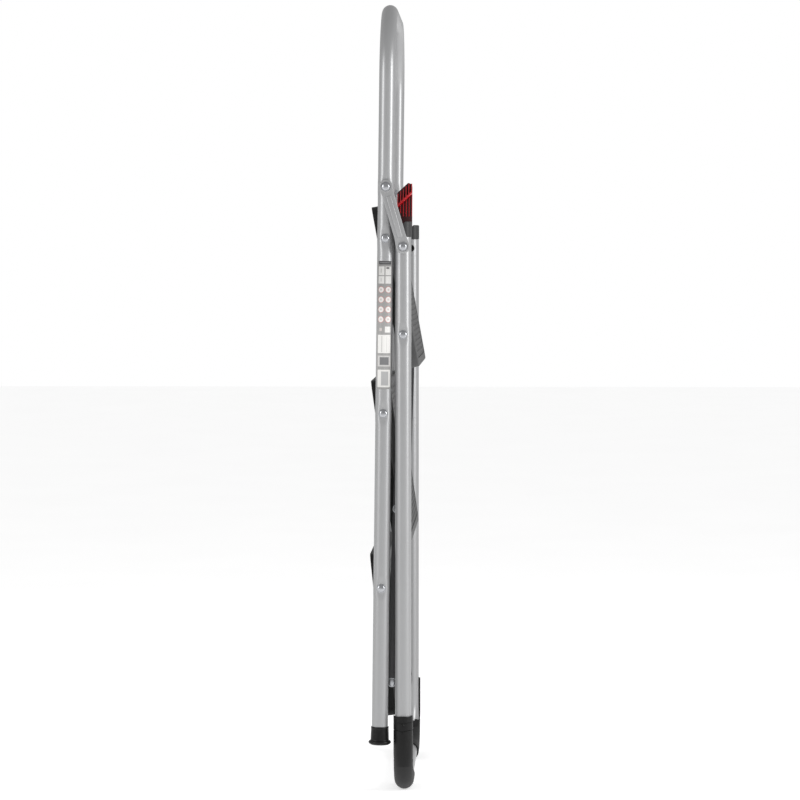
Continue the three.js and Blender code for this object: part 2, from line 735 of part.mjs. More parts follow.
ladder.add(rearFrame, catchSwing, frontFrame, ...treads, links, stays);
ladder.updateMatrixWorld(true);
const bounds = new THREE.Box3().setFromObject(ladder, true);
ladder.position.x = -(bounds.min.x + bounds.max.x) / 2;
ladder.position.z = -bounds.min.z;

export default ladder;
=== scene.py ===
# %% [markdown]
# # A folding step ladder, from frame to finish
# The ladder's sizes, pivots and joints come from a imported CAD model. Each part of it is a
# plain faceted solid. Here every visible part gets the shape and the finish of the real one,
# while its place still comes from the model, so the ladder keeps folding as it should.

import json
import math

import bmesh
import bpy
from mathutils import Matrix, Vector


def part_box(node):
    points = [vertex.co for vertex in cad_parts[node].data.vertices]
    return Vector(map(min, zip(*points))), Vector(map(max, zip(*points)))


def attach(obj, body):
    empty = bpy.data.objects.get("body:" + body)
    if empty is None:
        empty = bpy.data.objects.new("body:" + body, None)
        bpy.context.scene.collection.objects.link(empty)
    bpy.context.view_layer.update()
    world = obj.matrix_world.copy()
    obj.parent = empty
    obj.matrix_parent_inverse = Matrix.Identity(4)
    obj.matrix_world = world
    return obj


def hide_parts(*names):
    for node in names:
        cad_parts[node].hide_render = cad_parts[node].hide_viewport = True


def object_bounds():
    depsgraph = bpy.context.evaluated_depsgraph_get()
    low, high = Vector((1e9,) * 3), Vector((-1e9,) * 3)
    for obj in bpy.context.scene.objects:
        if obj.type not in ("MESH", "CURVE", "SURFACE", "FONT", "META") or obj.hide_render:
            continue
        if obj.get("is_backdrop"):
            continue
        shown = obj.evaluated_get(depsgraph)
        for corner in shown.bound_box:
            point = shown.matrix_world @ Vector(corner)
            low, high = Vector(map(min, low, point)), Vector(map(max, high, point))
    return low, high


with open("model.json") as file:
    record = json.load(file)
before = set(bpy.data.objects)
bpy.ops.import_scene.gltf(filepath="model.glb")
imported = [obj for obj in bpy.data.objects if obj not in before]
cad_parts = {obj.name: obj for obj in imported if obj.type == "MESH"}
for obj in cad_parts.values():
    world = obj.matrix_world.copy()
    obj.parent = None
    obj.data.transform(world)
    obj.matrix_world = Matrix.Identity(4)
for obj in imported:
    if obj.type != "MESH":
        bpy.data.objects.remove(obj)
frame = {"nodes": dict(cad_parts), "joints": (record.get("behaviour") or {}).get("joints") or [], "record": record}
cad_box = [list(corner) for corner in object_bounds()]
print(len(frame["nodes"]), "solids, box", cad_box)

# %% [markdown]
# ## Camera, light and floor
# The ladder is seen from its right side, almost square on, from far away with a long lens.
# A tube mirrors a tall light as a long stripe, so two tall soft lights stand to the left and
# the right of the camera, and a bright plain room fills in the rest. A round lamp would only
# give each tube a small bright spot. The room is pure white behind the ladder and gives half
# as much light, or the stripes would drown in it.

# %% Camera
scene = bpy.context.scene
scene.view_settings.view_transform = "Standard"
camera = bpy.data.objects.new("camera", bpy.data.cameras.new("camera"))
scene.collection.objects.link(camera)
camera.location = (0.1436, -4.709, 0.718)
aim = Vector((0.0086, -0.209, 0.536))
camera.rotation_euler = (aim - camera.location).to_track_quat("-Z", "Y").to_euler()
camera.data.lens = 150
camera.data.sensor_width = 36
scene.camera = camera
print("camera looks at", tuple(aim))

# %% Lights
def soft_light(name, azimuth, distance, height, size, power):
    """A tall area light. Azimuth 0 is at the camera, and 90 to its right."""
    lamp = bpy.data.lights.new(name, "AREA")
    lamp.shape = "RECTANGLE"
    lamp.size, lamp.size_y = size
    lamp.energy = power
    light = bpy.data.objects.new(name, lamp)
    scene.collection.objects.link(light)
    turn = math.radians(azimuth)
    light.location = (distance * math.sin(turn), -distance * math.cos(turn), height)
    towards = Vector((0, 0, 0.62)) - light.location
    light.rotation_euler = towards.to_track_quat("-Z", "Y").to_euler()
    return light


lamp_distance, lamp_height, lamp_tall = 2.4, 1.25, 1.5
soft_light("left_strip", -54, lamp_distance, lamp_height, (0.4, lamp_tall), 22)
soft_light("right_strip", 63, lamp_distance, lamp_height, (0.35, lamp_tall), 36)
room_light = 0.5
world = bpy.data.worlds.new("studio")
scene.world = world
world.use_nodes = True
studio = world.node_tree
backdrop = studio.nodes["Background"]
backdrop.inputs["Color"].default_value = (1, 1, 1, 1)
path = studio.nodes.new("ShaderNodeLightPath")
strength = studio.nodes.new("ShaderNodeMapRange")
studio.links.new(path.outputs["Is Camera Ray"], strength.inputs["Value"])
strength.inputs["To Min"].default_value = room_light
strength.inputs["To Max"].default_value = 1.0
studio.links.new(strength.outputs["Result"], backdrop.inputs["Strength"])
print("room light", room_light)

# %% [markdown]
# ## Sizes read from the model
# Nothing is placed by eye. A leg's centre line is the middle of its tube's box, a tread's own
# axes run from its front pivot to its rear pivot, and each rivet stands where the model has
# it. With those axes as matrices, a piece can be drawn flat and upright round its own origin
# and then moved into place in one step.

# %% Places and axes
MM = 0.001
SIDES = {"left": 1, "right": -1}
joints = {joint["name"]: joint for joint in frame["joints"]}


def pivot(name):
    return Vector(joints[name]["pos_m"])


def middle(node):
    low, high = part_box(node)
    return (low + high) / 2


def in_side_view(point):
    return Vector((point.x, 0, point.z))


def axes(origin, along, axis="X"):
    """A piece's own axes: X or Z along a side-view direction, Y across the ladder."""
    along = Vector((along.x, 0, along.z)).normalized()
    across = Vector((0, 1, 0))
    x_axis = along if axis == "X" else across.cross(along)
    z_axis = along.cross(across) if axis == "X" else along
    place = Matrix((x_axis, across, z_axis)).transposed().to_4x4()
    place.translation = (origin.x, 0, origin.z)
    return place


rear_low, rear_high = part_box("rear_frame_tube")
tube_radius = (rear_high.x - rear_low.x) / 2
leg_y = rear_high.y - tube_radius
platform_front = pivot("front_frame_pivot")
platform_rear = pivot("platform_pivot")
tread_pivots = {
    "platform": (platform_front, platform_rear),
    "middle_tread": (
        pivot("middle_tread_pivot"), in_side_view(middle("stay_middle_rivet_left"))),
    "lower_tread": (
        pivot("lower_tread_pivot"), in_side_view(middle("stay_lower_rivet_left"))),
}
front_axes = axes(platform_front, platform_front - pivot("lower_tread_pivot"), "Z")
rear_axes = axes(Vector((platform_rear.x, 0, 0)), Vector((0, 0, 1)), "Z")
print("tube radius", round(tube_radius, 5), "legs at", round(leg_y, 4))

# %% [markdown]
# ## Small tools for the shop
# A few short helpers cover the work that repeats. `extruded` draws a face and pulls it out,
# `turned` spins a profile as a lathe does, `block` is a box with rounded edges, and `absorb`
# lays one mesh into another. `place_piece` puts the finished mesh where it belongs, smooths it
# except across sharp edges, and ties it to the body that it moves with.

# %% Mesh helpers
def extruded(points, pull):
    """A face through the points, pulled out along a vector into a closed solid."""
    bm = bmesh.new()
    face = bm.faces.new([bm.verts.new(point) for point in points])
    grown = bmesh.ops.extrude_face_region(bm, geom=[face])["geom"]
    moved = [item for item in grown if isinstance(item, bmesh.types.BMVert)]
    bmesh.ops.translate(bm, verts=moved, vec=pull)
    bmesh.ops.recalc_face_normals(bm, faces=bm.faces)
    return bm


def turned(profile, steps=40):
    """Spins a (radius, height) profile round Z. It starts and ends on the axis."""
    bm = bmesh.new()
    points = [bm.verts.new((radius, 0, height)) for radius, height in profile]
    edges = [bm.edges.new(pair) for pair in zip(points, points[1:])]
    bmesh.ops.spin(
        bm, geom=points + edges, cent=(0, 0, 0), axis=(0, 0, 1), dvec=(0, 0, 0),
        angle=2 * math.pi, steps=steps, use_merge=True)
    bmesh.ops.remove_doubles(bm, verts=bm.verts, dist=1e-6)
    bmesh.ops.dissolve_degenerate(bm, edges=bm.edges, dist=1e-7)
    bmesh.ops.recalc_face_normals(bm, faces=bm.faces)
    return bm


def block(low, high, rounding=0.0, segments=2):
    """A box between two corners, with its edges rounded."""
    bm = bmesh.new()
    bmesh.ops.create_cube(bm, size=1)
    size = Vector(high) - Vector(low)
    bmesh.ops.scale(bm, verts=bm.verts, vec=size)
    bmesh.ops.translate(bm, verts=bm.verts, vec=(Vector(low) + Vector(high)) / 2)
    if rounding:
        bmesh.ops.bevel(
            bm, geom=bm.edges, offset=rounding, segments=segments, affect="EDGES",
            profile=0.5, material=-1)
    return bm


def absorb(bm, *parts):
    """Lays other meshes into this one."""
    for part in parts:
        sheet = bpy.data.meshes.new("part")
        part.to_mesh(sheet)
        part.free()
        bm.from_mesh(sheet)
        bpy.data.meshes.remove(sheet)
    return bm


def smoothstep(value):
    value = min(max(value, 0.0), 1.0)
    return value * value * (3 - 2 * value)


# %% Finishing a piece
made = []


def place_piece(name, bm, body, finish, replaces=(), place=None, sharp=35):
    """Makes the object, in its place, with its finish, riding on its body."""
    if place is not None:
        bmesh.ops.transform(bm, matrix=place, verts=bm.verts)
    mesh = bpy.data.meshes.new(name)
    bm.to_mesh(mesh)
    bm.free()
    mesh.shade_smooth()
    mesh.set_sharp_from_angle(angle=math.radians(sharp))
    piece = bpy.data.objects.new(name, mesh)
    scene.collection.objects.link(piece)
    mesh.materials.append(finish)
    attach(piece, body)
    if replaces:
        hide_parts(*replaces)
    made.append(piece)
    return piece


def mirrored_pair(build, name, body, finish, replaces=True, place=None, sharp=35):
    """The same piece on both sides. It is drawn on the left and flipped for the right."""
    pieces = []
    for side, sign in SIDES.items():
        bm = build()
        if sign < 0:
            bmesh.ops.scale(bm, verts=bm.verts, vec=(1, -1, 1))
            bmesh.ops.reverse_faces(bm, faces=bm.faces)
        node = f"{name}_{side}"
        pieces.append(place_piece(
            f"{node}_piece", bm, body.format(side=side), finish,
            [node] if replaces else [], place, sharp))
    print(name, sum(len(piece.data.polygons) for piece in pieces), "faces")
    return pieces


# %% [markdown]
# ## Writing materials as sums
# A material is a small graph of nodes. Written with plain calls it gets long, so one class
# wraps a socket and lets Python's own signs add the Math nodes: `0.3 + 0.1 * grain` makes two
# nodes. A second class holds the material, and its `node` method adds any other node.

# %% Shader arithmetic
class Wire:
    """An output socket that can be used in sums."""

    def __init__(self, finish, socket):
        self.finish = finish
        self.socket = socket

    def math(self, operation, *others, clamp=False):
        values = dict(enumerate([self, *others]))
        settings = {"operation": operation, "use_clamp": clamp}
        return self.finish.node("ShaderNodeMath", settings, values)

    def __add__(self, other):
        return self.math("ADD", other)

    def __sub__(self, other):
        return self.math("SUBTRACT", other)

    def __mul__(self, other):
        return self.math("MULTIPLY", other)

    def __truediv__(self, other):
        return self.math("DIVIDE", other)

    def __rsub__(self, other):
        return (self * -1) + other

    __radd__ = __add__
    __rmul__ = __mul__

    def clamp(self):
        return self.math("ADD", 0.0, clamp=True)

    def size(self):
        return self.math("ABSOLUTE")

    def power(self, exponent):
        return self.math("POWER", exponent)

    def wrap(self, length):
        return self.math("WRAP", length, 0.0)


class Finish:
    """A material with one main shader."""

    def __init__(self, name, **constants):
        self.material = bpy.data.materials.new(name)
        self.material.use_nodes = True
        self.tree = self.material.node_tree
        self.shader = self.tree.nodes["Principled BSDF"]
        for socket, value in constants.items():
            self.shader.inputs[socket.replace("_", " ")].default_value = value

    def node(self, kind, settings=None, values=None, output=0):
        node = self.tree.nodes.new(kind)
        for name, value in (settings or {}).items():
            setattr(node, name, value)
        for key, value in (values or {}).items():
            self.feed(node.inputs[key], value)
        return Wire(self, node.outputs[output])

    def feed(self, socket, value):
        if isinstance(value, Wire):
            self.tree.links.new(value.socket, socket)
        else:
            socket.default_value = value

    def coordinates(self, scale=(1, 1, 1), turn=(0, 0, 0), shift=(0, 0, 0)):
        """Object coordinates, centred or turned on the piece, then stretched."""
        here = self.node("ShaderNodeTexCoord", output=3)
        values = {"Vector": here, "Location": shift, "Rotation": turn, "Scale": scale}
        return self.node("ShaderNodeMapping", {"vector_type": "POINT"}, values)

    def noise(self, where, scale, detail=2.0, roughness=0.5):
        values = {"Vector": where, "Scale": scale, "Detail": detail, "Roughness": roughness}
        return self.node("ShaderNodeTexNoise", {}, values)

    def mix(self, factor, first, second):
        values = {0: factor, 6: first, 7: second}
        return self.node("ShaderNodeMix", {"data_type": "RGBA"}, values, output=2)

    def bump(self, height, strength, distance):
        values = {"Height": height, "Strength": strength, "Distance": distance}
        self.feed(self.shader.inputs["Normal"], self.node("ShaderNodeBump", {}, values))

    def set(self, **sockets):
        for name, value in sockets.items():
            self.feed(self.shader.inputs[name.replace("_", " ")], value)
        return self


def grey(level):
    return (level, level, level * 1.01, 1)


# %% [markdown]
# ## Silver powder coat
# The tubes and links are steel, sprayed with silver powder and baked. Such a coat has a fine
# orange-peel surface, tiny bright flakes in it, and light rubbing marks that run along the
# tube, mostly low down where feet and floor reach it. A mirror-smooth metal would look like
# chrome, so the coat is only partly metallic and its gloss varies a little.

# %% Silver coat
def silver_coat():
    coat = Finish("silver_powder_coat", Metallic=0.45, Coat_Roughness=0.3)
    here = coat.coordinates()
    flakes = coat.noise(here, 2600, 1.0)
    peel = coat.noise(here, 420, 2.0)
    cloud = coat.noise(here, 14, 3.0)
    along = coat.coordinates(scale=(900, 900, 28))
    streaks = coat.noise(along, 1.0, 3.0, 0.7)
    height = coat.node("ShaderNodeSeparateXYZ", values={0: here}, output=2)
    low = (1 - height / 0.35).clamp()
    rubbed = ((streaks - 0.62) * 9).clamp() * (0.25 + 0.75 * low)
    tone = coat.mix(flakes, (0.30, 0.302, 0.306, 1), (0.39, 0.393, 0.398, 1))
    tone = coat.mix(cloud * 0.25, tone, (0.30, 0.30, 0.30, 1))
    tone = coat.mix(rubbed * 0.5, tone, (0.5, 0.5, 0.5, 1))
    coat.set(Base_Color=tone, Roughness=0.33 + 0.1 * peel + 0.12 * rubbed)
    coat.bump(peel + 0.3 * flakes - 0.4 * rubbed, 0.12, 0.0002)
    return coat.material


silver = silver_coat()
print("made", silver.name)

# %% [markdown]
# ## Zinc, black plastic, tread plastic and rubber
# Rivets are steel with a bright zinc plating: fully metallic, slightly uneven. The moulded
# parts share one fine spark-eroded grain, the same that a real mould gives its plastic. On
# the treads the upper part is a dark grey, and the underside is painted black as painted
# shade, split at a height in the tread's own axes. The coordinates are turned to those axes
# with a Mapping node. The stay bars are steel painted very dark, a painted shade for the
# shadow they stand in between the legs.

# %% Zinc plating
def zinc_plating():
    zinc = Finish("zinc_plating", Metallic=1.0)
    here = zinc.coordinates()
    spangle = zinc.noise(here, 900, 2.0)
    tone = zinc.mix(spangle, (0.30, 0.305, 0.32, 1), (0.50, 0.51, 0.53, 1))
    zinc.set(Base_Color=tone, Roughness=0.2 + 0.16 * spangle)
    zinc.bump(spangle, 0.1, 0.0002)
    return zinc.material


zinc = zinc_plating()


# %% Steel darkened as painted shade
def shade_darkened_steel():
    steel = Finish("steel_painted_shade", Metallic=0.5)
    here = steel.coordinates()
    scale = steel.noise(here, 600, 3.0)
    # Painted shade: a very dark steel tone for the stay bars, which stand in shadow between the legs.
    tone = steel.mix(scale, (0.05, 0.05, 0.052, 1), (0.09, 0.09, 0.093, 1))
    steel.set(Base_Color=tone, Roughness=0.42 + 0.14 * scale)
    steel.bump(scale, 0.1, 0.0002)
    return steel.material


steel_painted_shade = shade_darkened_steel()

# %% Black moulded plastic
def moulded(name, dark, light, gloss, grain_depth=0.22):
    plastic = Finish(name, Specular_IOR_Level=0.22)
    here = plastic.coordinates()
    grain = plastic.noise(here, 1500, 2.0, 0.6)
    cloud = plastic.noise(here, 40, 3.0)
    rubs = plastic.noise(here, 160, 4.0, 0.7)
    dust = ((rubs - 0.56) * 5).clamp()
    tone = plastic.mix(cloud, dark, light)
    tone = plastic.mix(dust * 0.05, tone, (0.10, 0.10, 0.10, 1))
    plastic.set(Base_Color=tone, Roughness=gloss + 0.12 * grain + 0.1 * dust)
    plastic.bump(grain, grain_depth, 0.0002)
    return plastic.material


black = moulded("black_plastic", grey(0.004), grey(0.008), 0.3)
cap_grey = moulded("dark_grey_plastic", grey(0.035), grey(0.05), 0.36)

# %% Shoe, two materials in one moulding
def shoe_plastic():
    shoe = Finish("shoe_plastic", Specular_IOR_Level=0.22)
    here = shoe.coordinates()
    grain = shoe.noise(here, 1500, 2.0, 0.6)
    scuffs = ((shoe.noise(here, 220, 4.0, 0.75) - 0.55) * 6).clamp()
    height = shoe.node("ShaderNodeSeparateXYZ", values={0: here}, output=2)
    sole = ((0.0378 - height) * 2500).clamp()
    tone = shoe.mix(sole, grey(0.005), grey(0.018))
    tone = shoe.mix(scuffs * 0.04 * (1 + sole), tone, grey(0.12))
    shoe.set(Base_Color=tone, Roughness=0.40 + 0.12 * sole + 0.1 * grain)
    shoe.bump(grain, 0.25, 0.0002)
    return shoe.material


shoe_black = shoe_plastic()
print("made", zinc.name, black.name, cap_grey.name, shoe_black.name)

# %% Tread plastic and rubber mat
def tread_turn(name):
    """Rotation and shift that bring object coordinates to a tread's own axes."""
    front, rear = tread_pivots[name]
    inverse = axes(front, rear - front).inverted()
    return tuple(inverse.to_euler()), tuple(inverse.translation)


def tread_plastic(name):
    plastic = Finish(f"{name}_plastic", Specular_IOR_Level=0.3)
    turn, shift = tread_turn(name)
    here = plastic.coordinates(turn=turn, shift=shift)
    grain = plastic.noise(here, 1300, 2.0, 0.6)
    cloud = plastic.noise(here, 30, 3.0)
    rise = plastic.node("ShaderNodeSeparateXYZ", values={0: here}, output=2)
    # Painted shade: below a height just over the pivot line, the lower skirt and the underside are painted
    # near-black.
    upper = ((rise - 0.0008) * 4000).clamp()
    tone = plastic.mix(upper, grey(0.006), plastic.mix(cloud, grey(0.075), grey(0.095)))
    plastic.set(Base_Color=tone, Roughness=0.55 + 0.12 * grain - 0.1 * (1 - upper))
    plastic.bump(grain, 0.35, 0.0003)
    return plastic.material


def mat_rubber(name):
    rubber = Finish(f"{name}_rubber")
    turn, shift = tread_turn(name)
    here = rubber.coordinates(turn=turn, shift=shift)
    grain = rubber.noise(here, 900, 3.0, 0.65)
    dust = ((rubber.noise(here, 60, 4.0, 0.7) - 0.5) * 4).clamp()
    tone = rubber.mix(grain, grey(0.05), grey(0.085))
    tone = rubber.mix(dust * 0.25, tone, (0.16, 0.158, 0.15, 1))
    rubber.set(Base_Color=tone, Roughness=0.72 + 0.15 * grain)
    rubber.bump(grain, 0.4, 0.0003)
    return rubber.material


# %% [markdown]
# ## The tubes
# Each frame is one steel tube: a circle drawn up the leg, round a bend and across. Half of it
# is made by extruding and spinning a ring, and the other half is its mirror image. Where a
# rivet goes through, the real tube is squeezed flat between two dies, which leaves an oval
# flat that fades out along the leg. Those rings are set close together, and a soft limit
# presses them in: it lets the round side bend over into the flat with no hard edge.

# %% Tube helpers
def pull_ring(bm, edges, step):
    """Extrudes an open ring of edges by a vector and returns the new ring."""
    grown = bmesh.ops.extrude_edge_only(bm, edges=edges)["geom"]
    fresh = {item for item in grown if isinstance(item, bmesh.types.BMVert)}
    bmesh.ops.translate(bm, verts=list(fresh), vec=step)
    ring = [item for item in grown if isinstance(item, bmesh.types.BMEdge)]
    return [edge for edge in ring if all(vert in fresh for vert in edge.verts)]


def half_frame(radius, end_z, bar_z, bend, stations, segments=36, bend_steps=20):
    """From the end of a leg, through its stations, round the bend, to the ladder's middle."""
    down = 1 if bar_z > end_z else -1
    bm = bmesh.new()
    bmesh.ops.create_circle(bm, cap_ends=True, segments=segments, radius=radius)
    bmesh.ops.translate(bm, verts=bm.verts, vec=(0, leg_y, end_z))
    ring = list(bm.edges)
    last = end_z
    for height in sorted(stations, key=lambda z: z * down) + [bar_z - down * bend]:
        ring = pull_ring(bm, ring, (0, 0, height - last))
        last = height
    corners = list({vert for edge in ring for vert in edge.verts})
    spun = bmesh.ops.spin(
        bm, geom=corners + ring, cent=(0, leg_y - bend, last), axis=(1, 0, 0),
        dvec=(0, 0, 0), angle=down * math.pi / 2, steps=bend_steps, use_merge=False)
    ring = [item for item in spun["geom_last"] if isinstance(item, bmesh.types.BMEdge)]
    pull_ring(bm, ring, (0, bend - leg_y, 0))
    return bm


def press_flats(bm, heights, radius, depth=1.1 * MM, flat=4 * MM, reach=19 * MM):
    """Squeezes the tube flat, inside and outside, round each rivet."""
    for vert in bm.verts:
        away = min(abs(vert.co.z - height) for height in heights)
        press = 1 - smoothstep((away - flat) / (reach - flat))
        if press <= 0:
            continue
        offset = abs(vert.co.y) - leg_y
        limit = radius - depth * press
        soft = 0.55 * MM * press + 1e-9
        over = (limit - abs(offset)) / soft
        if over > 40:
            continue
        pressed = limit - soft * math.log1p(math.exp(over))
        vert.co.y = leg_y + math.copysign(pressed, offset)
        vert.co.x *= 1 + 0.02 * press


def mirror_half(bm):
    """Adds the other half, merged in the middle plane."""
    bmesh.ops.mirror(bm, geom=bm.verts[:] + bm.edges[:] + bm.faces[:], axis="Y",
                     merge_dist=1e-5)
    bmesh.ops.remove_doubles(bm, verts=bm.verts, dist=1e-6)
    bmesh.ops.recalc_face_normals(bm, faces=bm.faces)
    return bm


def close_rings(heights, reach=19 * MM, count=17):
    """Stations set close together round each rivet."""
    steps = [2 * step / (count - 1) - 1 for step in range(count)]
    return [height + reach * step for height in heights for step in steps]


# %% Front frame, with the hand loop
inward = front_axes.inverted()
front_low, front_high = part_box("front_frame_tube")
front_rivets = [
    (inward @ middle(f"{name}_pivot_rivet_left")).z for name in tread_pivots]
front_rivets.append((inward @ middle("link_upper_rivet_left")).z)
handle_z = (inward @ Vector((front_high.x, 0, front_high.z))).z - tube_radius - 0.2 * MM
foot_z = (inward @ Vector((front_low.x, 0, front_low.z))).z + 0.2 * MM
handle_bend = 95 * MM


def front_tube():
    bm = half_frame(
        tube_radius, foot_z, handle_z, handle_bend, close_rings(front_rivets))
    press_flats(bm, front_rivets, tube_radius)
    return mirror_half(bm)


place_piece("front_tube", front_tube(), "front_frame", silver,
            ["front_frame_tube"], front_axes, sharp=50)
print("front tube from", round(foot_z, 4), "to", round(handle_z, 4))

# %% Rear frame
bar_z = rear_low.z + tube_radius
leg_top = rear_high.z
base_bend = 60 * MM
rear_rivets = [platform_rear.z]


def rear_tube():
    bm = half_frame(tube_radius, leg_top, bar_z, base_bend, close_rings(rear_rivets))
    press_flats(bm, rear_rivets, tube_radius)
    return mirror_half(bm)


place_piece("rear_tube", rear_tube(), "rear_frame", silver,
            ["rear_frame_tube"], rear_axes, sharp=50)
print("rear tube from", round(leg_top, 4), "down to", round(bar_z, 4))

# %% [markdown]
# ## Rivets
# All pivots are rivets with a low domed head on a thin rim. A rivet is turned work, so its
# half profile is spun round once. The shank and the rolled tail are on the same profile.

# %% Rivets
def rivet_profile(length, head_radius, head, shank, tail_radius=0.0):
    """From the tail, at height 0, to the top of the head."""
    under = length - head
    rim = 0.55 * MM if head > 2 * MM else 0.3 * MM
    profile = [(0, 0)]
    if tail_radius:
        profile += [
            (tail_radius * 0.45, 0.5 * MM), (tail_radius * 0.75, 0),
            (tail_radius, 0.5 * MM), (tail_radius, 1.1 * MM),
            (tail_radius * 0.9, 1.5 * MM), (shank, 1.5 * MM)]
    else:
        profile += [(shank, 0)]
    profile += [(shank, under), (head_radius, under), (head_radius, under + rim)]
    crown = head_radius * 0.86
    for step in range(9):
        turn = step / 8 * math.pi / 2
        out = crown * math.cos(turn)
        profile.append((out, under + rim * 1.15 + (head - rim * 1.15) * math.sin(turn)))
    profile[-1] = (0, profile[-1][1])
    return profile


def rivet(node, tail_radius):
    """A rivet in the place of a node on the left side, its head outward."""
    low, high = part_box(node)
    head = 3 * MM if high.y - low.y > 6 * MM else 1.3 * MM
    if high.y > leg_y + tube_radius:
        head = 3 * MM
    profile = rivet_profile(
        high.y - low.y, (high.x - low.x) / 2, head, 3 * MM, tail_radius)
    bm = turned(profile, 32)
    turn = Matrix.Rotation(-math.pi / 2, 4, "X")
    shift = Matrix.Translation(((low.x + high.x) / 2, low.y, (low.z + high.z) / 2))
    bmesh.ops.transform(bm, matrix=shift @ turn, verts=bm.verts)
    return bm


rivets = {
    "platform_pivot_rivet": ("front_frame", 5 * MM),
    "middle_tread_pivot_rivet": ("front_frame", 5 * MM),
    "lower_tread_pivot_rivet": ("front_frame", 5 * MM),
    "link_upper_rivet": ("front_frame", 5 * MM),
    "rear_pivot_rivet": ("rear_frame", 5 * MM),
    "link_lower_rivet": ("link_{side}", 0),
    "stay_middle_rivet": ("stay_{side}", 0),
    "stay_lower_rivet": ("stay_{side}", 0),
}
for name, (body, tail) in rivets.items():
    mirrored_pair(lambda: rivet(f"{name}_left", tail), name, body, zinc)

# %% [markdown]
# ## Front feet
# A foot is a socket of black plastic pushed over the tube's end. It widens a little towards
# the floor, has fine rings to grip, and ends in a thin rounded lip. Again the lathe is the
# natural tool, and the rings are small steps in the profile.

# %% Front feet
mounts = {mount["name"]: Vector(mount["pos_m"]) for mount in frame["record"]["mounts"]}
foot_low, foot_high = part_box("front_foot_left")
sole_z = (inward @ mounts["front_sole_left"]).z
foot_height = (inward @ Vector((foot_low.x, 0, foot_high.z))).z - sole_z - 0.1 * MM
foot_lip = (foot_high.x - foot_low.x) / 2 - 0.05 * MM


def front_foot():
    neck, top, lip_low, lip_half = 12.6 * MM, 12 * MM, 0.8 * MM, 2.5 * MM
    profile = [(0, 0.6 * MM), (9.5 * MM, 0.6 * MM), (10 * MM, 0), (12 * MM, 0)]
    profile.append((neck, 0.3 * MM))
    for step in range(13):
        turn = math.radians(-84 + 14 * step)
        out = neck + (foot_lip - neck) * math.cos(turn)
        profile.append((out, lip_low + lip_half * (1 + math.sin(turn))))
    rings = 9
    start, end = lip_low + 2 * lip_half + 0.8 * MM, foot_height - 3.2 * MM
    for ring in range(rings):
        for part, dip in ((0, 0), (0.35, 0), (0.5, 0.22), (0.85, 0.22)):
            share = (ring + part) / rings
            out = neck + (top - neck) * share - dip * MM
            profile.append((out, start + (end - start) * share))
    profile += [
        (top + 0.1 * MM, end + 0.2 * MM), (top, foot_height - 0.6 * MM),
        (top - 0.25 * MM, foot_height - 0.1 * MM), (tube_radius + 0.3 * MM, foot_height),
        (tube_radius + 0.15 * MM, foot_height - 3 * MM), (0, foot_height - 3 * MM)]
    bm = turned(profile, 48)
    bmesh.ops.translate(bm, verts=bm.verts, vec=(0, leg_y, sole_z))
    return bm


mirrored_pair(front_foot, "front_foot", "front_frame", black,
              place=front_axes, sharp=40)


# %% [markdown]
# ## Rear shoes
# The rear frame stands on its bar, and a moulded shoe covers each lower corner: a full sleeve
# round the bar, and higher up a half shell that is open towards the inside. The shell follows
# the tube, so the same ring is pulled down, spun and pulled along the bar. A few rings are
# drawn in a little where the moulding has its seams, the inner side is cut away, and a
# Solidify modifier gives the wall.

# %% Rear shoes
shoe_low, shoe_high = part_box("rear_shoe_left")
shoe_radius = shoe_high.y - leg_y
shoe_wall = 1.9 * MM
shoe_seams = {98.9 * MM: (0.35, 1.4), 88.6 * MM: (0.75, 1.9)}


def rear_shoe():
    top = shoe_high.z
    heights = [top - 0.5 * MM, top - 1.5 * MM]
    for seam in shoe_seams:
        heights += [seam + step * MM for step in (1.3, 0.55, 0.2, -0.2, -0.55, -1.3)]
    bm = half_frame(shoe_radius, top, bar_z, base_bend, heights, segments=48, bend_steps=24)
    lid = [face for face in bm.faces if len(face.verts) > 4]
    bmesh.ops.delete(bm, geom=lid, context="FACES_ONLY")
    bmesh.ops.bisect_plane(
        bm, geom=bm.verts[:] + bm.edges[:] + bm.faces[:], plane_co=(0, shoe_low.y, 0),
        plane_no=(0, -1, 0), clear_outer=True)
    upper = [face for face in bm.faces if face.calc_center_median().z > 50 * MM]
    rim = {edge for face in upper for edge in face.edges}
    bmesh.ops.bisect_plane(
        bm, geom=list({v for f in upper for v in f.verts}) + list(rim) + upper,
        plane_co=(0, leg_y - 2 * MM, 0), plane_no=(0, -1, 0), clear_outer=True)
    for vert in bm.verts:
        around = math.atan2(vert.co.x, vert.co.y - leg_y)
        if vert.co.z > 75 * MM:
            for seam, (dip, notch) in shoe_seams.items():
                near = abs(vert.co.z - seam)
                if near < 0.4 * MM:
                    draw = 1 - dip * MM / shoe_radius
                    vert.co.x *= draw
                    vert.co.y = leg_y + (vert.co.y - leg_y) * draw
                if near < 1 * MM:
                    vert.co.z -= notch * MM * math.exp(-(around / 0.28) ** 2)
            if vert.co.z > top - 2 * MM:
                vert.co.z -= 0.5 * MM * (1 - math.cos(4 * around)) / 2
                vert.co.z -= 0.4 * MM
        line = 38 * MM
        if abs(vert.co.z - line) < 0.9 * MM and vert.co.y > leg_y - 20 * MM:
            vert.co.y -= 0.25 * MM
        vert.co.z = max(vert.co.z, 0.0)
    bmesh.ops.recalc_face_normals(bm, faces=bm.faces)
    if sum(face.normal.dot(Vector((0, face.calc_center_median().y - leg_y, 0)))
           for face in bm.faces if face.calc_center_median().z > 80 * MM) < 0:
        bmesh.ops.reverse_faces(bm, faces=bm.faces)
    return bm


for shoe in mirrored_pair(rear_shoe, "rear_shoe", "rear_frame", shoe_black,
                          place=rear_axes, sharp=40):
    wall = shoe.modifiers.new("wall", "SOLIDIFY")
    wall.thickness = shoe_wall
    wall.offset = -1
    edge = shoe.modifiers.new("edge", "BEVEL")
    edge.width = 0.4 * MM
    edge.segments = 2
    edge.limit_method = "ANGLE"
    edge.angle_limit = math.radians(50)

